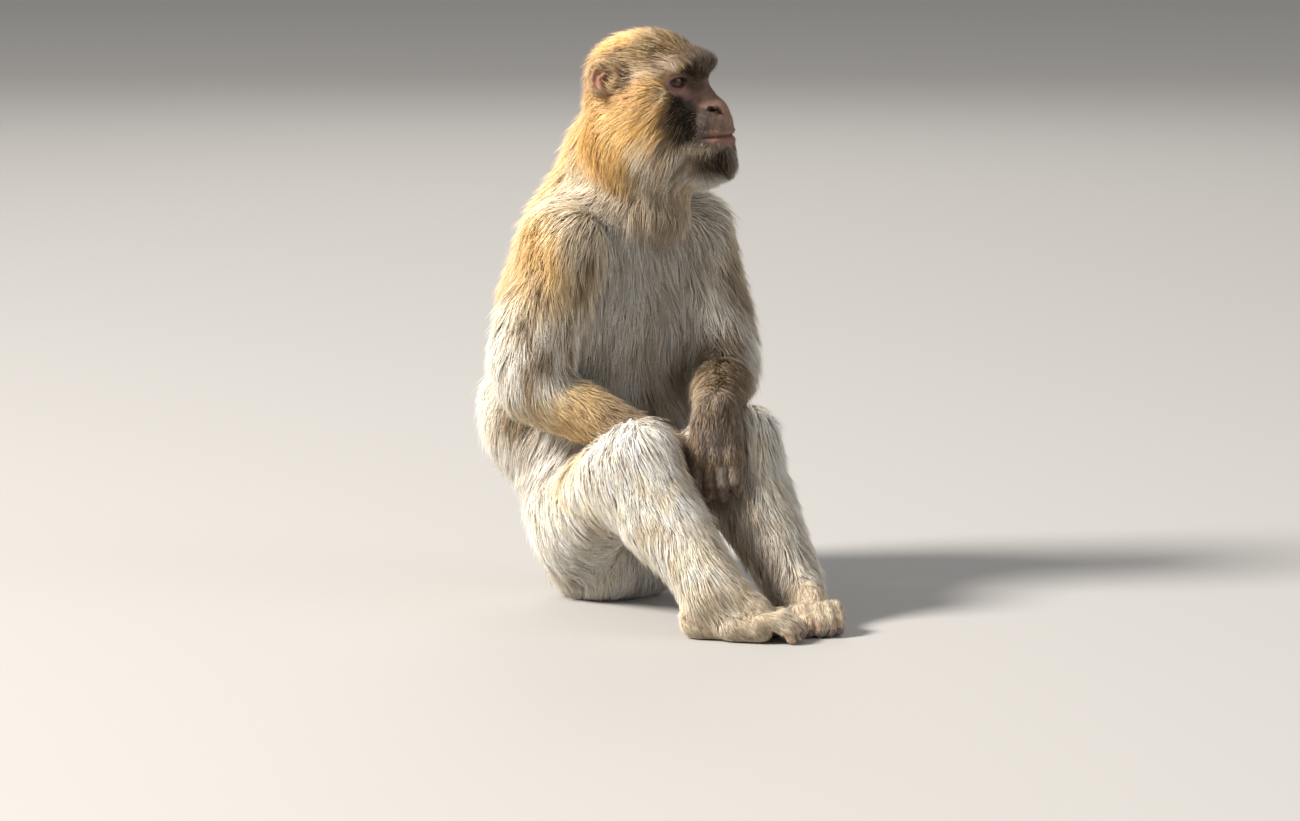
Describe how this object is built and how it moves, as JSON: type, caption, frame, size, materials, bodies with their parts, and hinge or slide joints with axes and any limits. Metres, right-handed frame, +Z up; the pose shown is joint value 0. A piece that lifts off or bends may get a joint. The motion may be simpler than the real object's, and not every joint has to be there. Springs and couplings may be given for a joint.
{
  "type": "barbary macaque",
  "caption": "Life-size still model of a macaque sitting with knees raised, hands hanging between the shins and head turned to its left; it rests on its rump and feet.",
  "frame": {"origin": "on the floor, at the centre of the flat that the rump rests on", "axes": "+Z up; the animal's chest faces -Y and its left side is +X"},
  "size_m": [0.2666, 0.4506, 0.5461],
  "materials": {
    "crown_coat": "soft golden fur",
    "back_coat": "long yellow-brown fur",
    "pale_coat": "long cream fur",
    "hand_coat": "short grey-brown fur",
    "foot_coat": "short buff fur",
    "bare_skin": "bare skin",
    "eye": "wet brown"
  },
  "bodies": {
    "root": {"head": "crown_coat", "ear_right": "bare_skin", "ear_left": "bare_skin", "eye_right": "eye", "eye_left": "eye", "neck": "back_coat", "chest": "back_coat", "belly": "pale_coat", "rump": "pale_coat", "tail": "back_coat", "upper_arm_right": "back_coat", "upper_arm_left": "back_coat", "forearm_right": "back_coat", "forearm_left": "back_coat", "hand_right": "hand_coat", "hand_left": "hand_coat", "thigh_right": "pale_coat", "thigh_left": "pale_coat", "shin_right": "pale_coat", "shin_left": "pale_coat", "foot_right": "foot_coat", "foot_left": "foot_coat"}
  },
  "joints": []
}
